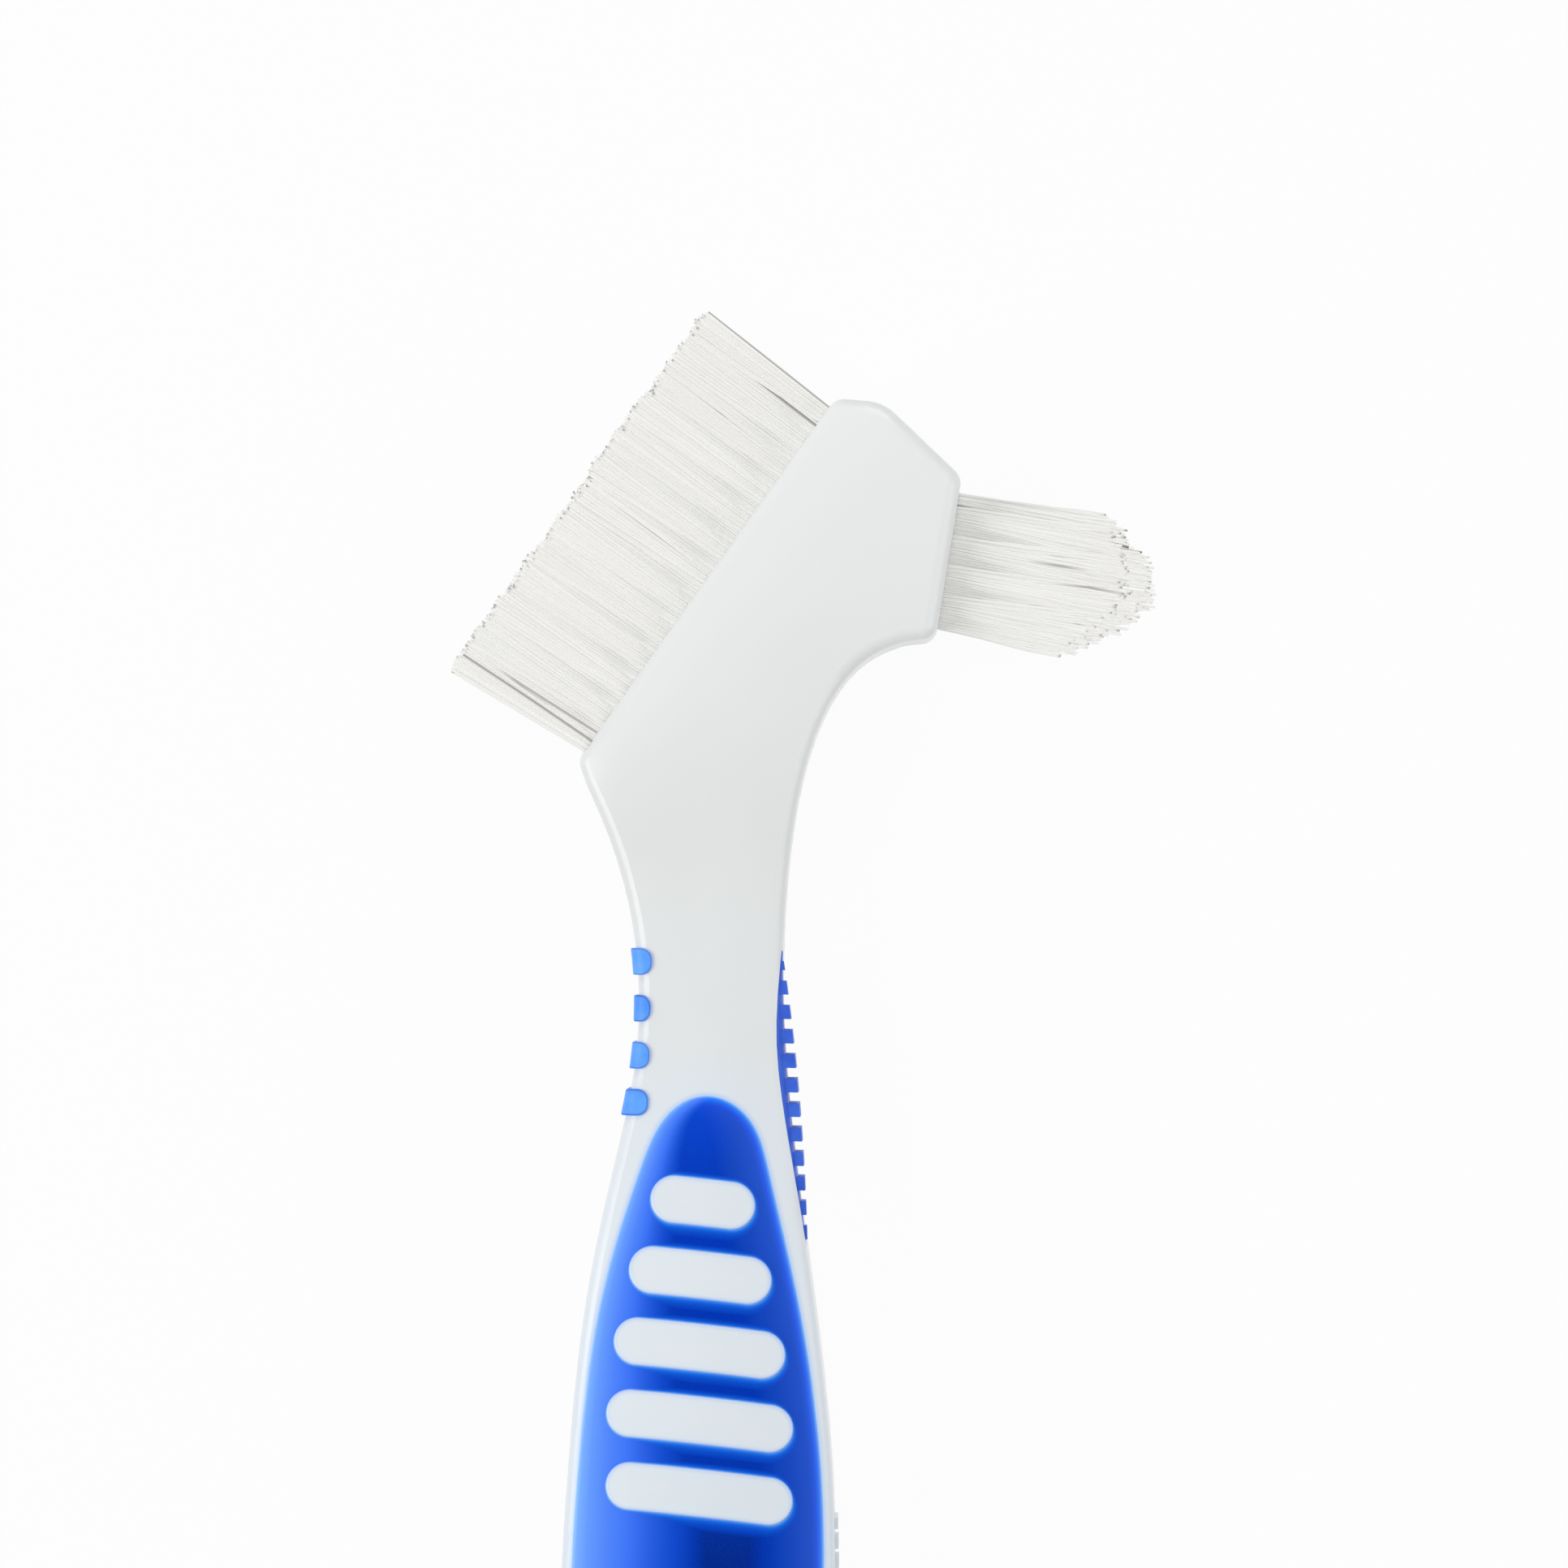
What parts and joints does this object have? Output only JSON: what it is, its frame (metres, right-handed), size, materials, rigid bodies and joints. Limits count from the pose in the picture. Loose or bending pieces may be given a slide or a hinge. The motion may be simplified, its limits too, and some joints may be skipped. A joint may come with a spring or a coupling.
{
  "type": "denture brush",
  "caption": "Hand brush with an angled flat brush and a small domed end brush on one head, and a broad white handle with soft blue grip inlays.",
  "frame": {"origin": "on the flat back of the head, which rests on the table, where the handle's axis crosses it", "axes": "+Y up the handle towards the head, +X to the right as one looks at the front, towards the end brush, +Z out of the front"},
  "size_m": [0.0616, 0.1827, 0.016],
  "materials": {
    "white_plastic": "glossy white polypropylene",
    "blue_soft_touch": "satin soft-touch elastomer",
    "thumb_blue": "satin soft-touch elastomer",
    "finger_blue": "satin soft-touch elastomer",
    "nylon": "clear nylon filaments, off-white together",
    "anchor_metal": "plain sheet"
  },
  "bodies": {
    "root": {"body": "white_plastic", "front_grip_panel": "blue_soft_touch", "thumb_pad": "thumb_blue", "finger_pad_1": "finger_blue", "finger_pad_2": "finger_blue", "finger_pad_3": "finger_blue", "finger_pad_4": "finger_blue", "flat_brush_row_1": "nylon", "flat_brush_row_2": "nylon", "flat_brush_row_3": "nylon", "flat_brush_row_4": "nylon", "flat_anchors_row_1": "anchor_metal", "flat_anchors_row_2": "anchor_metal", "flat_anchors_row_3": "anchor_metal", "flat_anchors_row_4": "anchor_metal", "end_brush_row_1": "nylon", "end_brush_row_2": "nylon", "end_brush_row_3": "nylon", "end_brush_row_4": "nylon", "end_anchors_row_1": "anchor_metal", "end_anchors_row_2": "anchor_metal", "end_anchors_row_3": "anchor_metal", "end_anchors_row_4": "anchor_metal"}
  },
  "joints": []
}
